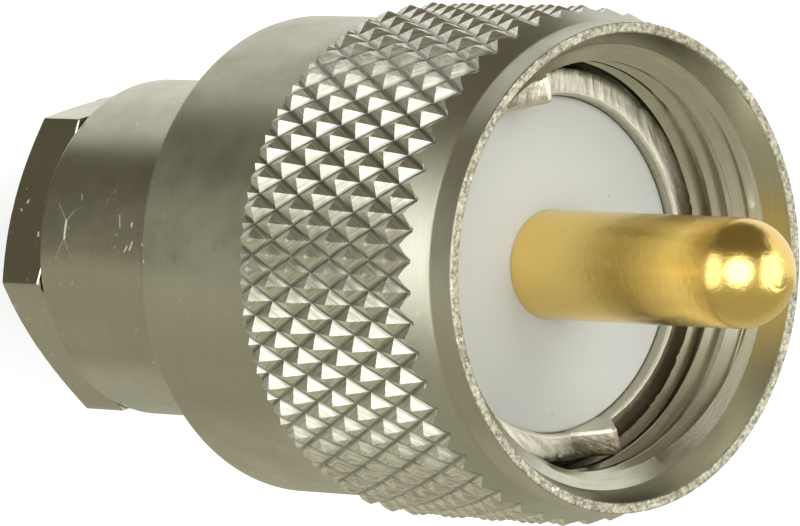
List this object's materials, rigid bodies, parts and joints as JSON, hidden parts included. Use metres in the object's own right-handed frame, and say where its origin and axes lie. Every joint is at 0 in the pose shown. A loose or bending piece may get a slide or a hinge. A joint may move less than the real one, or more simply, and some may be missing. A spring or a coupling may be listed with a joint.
{
  "type": "uhf coaxial cable plug",
  "caption": "Coaxial cable plug with a gold pin, a white insulator, a knurled coupling nut that slides and turns, and a hexagonal cable clamp nut.",
  "frame": {"origin": "centre of the clamp nut's rear face, on which the plug stands", "axes": "+Z along the plug's axis, from the cable end to the tip of the pin; +X and +Y complete the frame"},
  "size_m": [0.0188, 0.0188, 0.0348],
  "materials": {
    "nickel": "satin nickel plate over brass",
    "nickel_nut": "satin nickel plate over knurled brass",
    "insulator": "turned white fluoroplastic",
    "gold_contact": "bright gold plate over brass",
    "inner_brass": "plain turned brass",
    "gasket_rubber": "matt moulded rubber"
  },
  "bodies": {
    "plug": {"shell": "nickel", "front_insulator": "insulator", "rear_insulator": "insulator", "center_contact": "gold_contact"},
    "ring": {"retaining_ring": "inner_brass"},
    "nut": {"coupling_nut": "nickel_nut"},
    "grip": {"slip_washer": "inner_brass", "cable_gasket": "gasket_rubber", "braid_clamp": "inner_brass"},
    "clamp": {"clamp_nut": "nickel"}
  },
  "joints": [
    {"name": "nut_turn", "type": "hinge", "parent": "plug", "child": "ring", "pos_m": [0, 0, 0.0192], "axis": [0, 0, 1], "continuous": true},
    {"name": "nut_slide", "type": "slide", "parent": "ring", "child": "nut", "axis": [0, 0, 1], "range_m": [0, 0.0064]},
    {"name": "clamp_travel", "type": "slide", "parent": "plug", "child": "grip", "axis": [0, 0, 1], "range_m": [-0.00476, 0]},
    {"name": "clamp_turn", "type": "hinge", "parent": "grip", "child": "clamp", "pos_m": [0, 0, 0.001], "axis": [0, 0, 1], "range_deg": [-2161, 0]}
  ],
  "couplings": [
    {"joint": "clamp_turn", "follows": "clamp_travel", "rad_per_m": 7915.8}
  ]
}
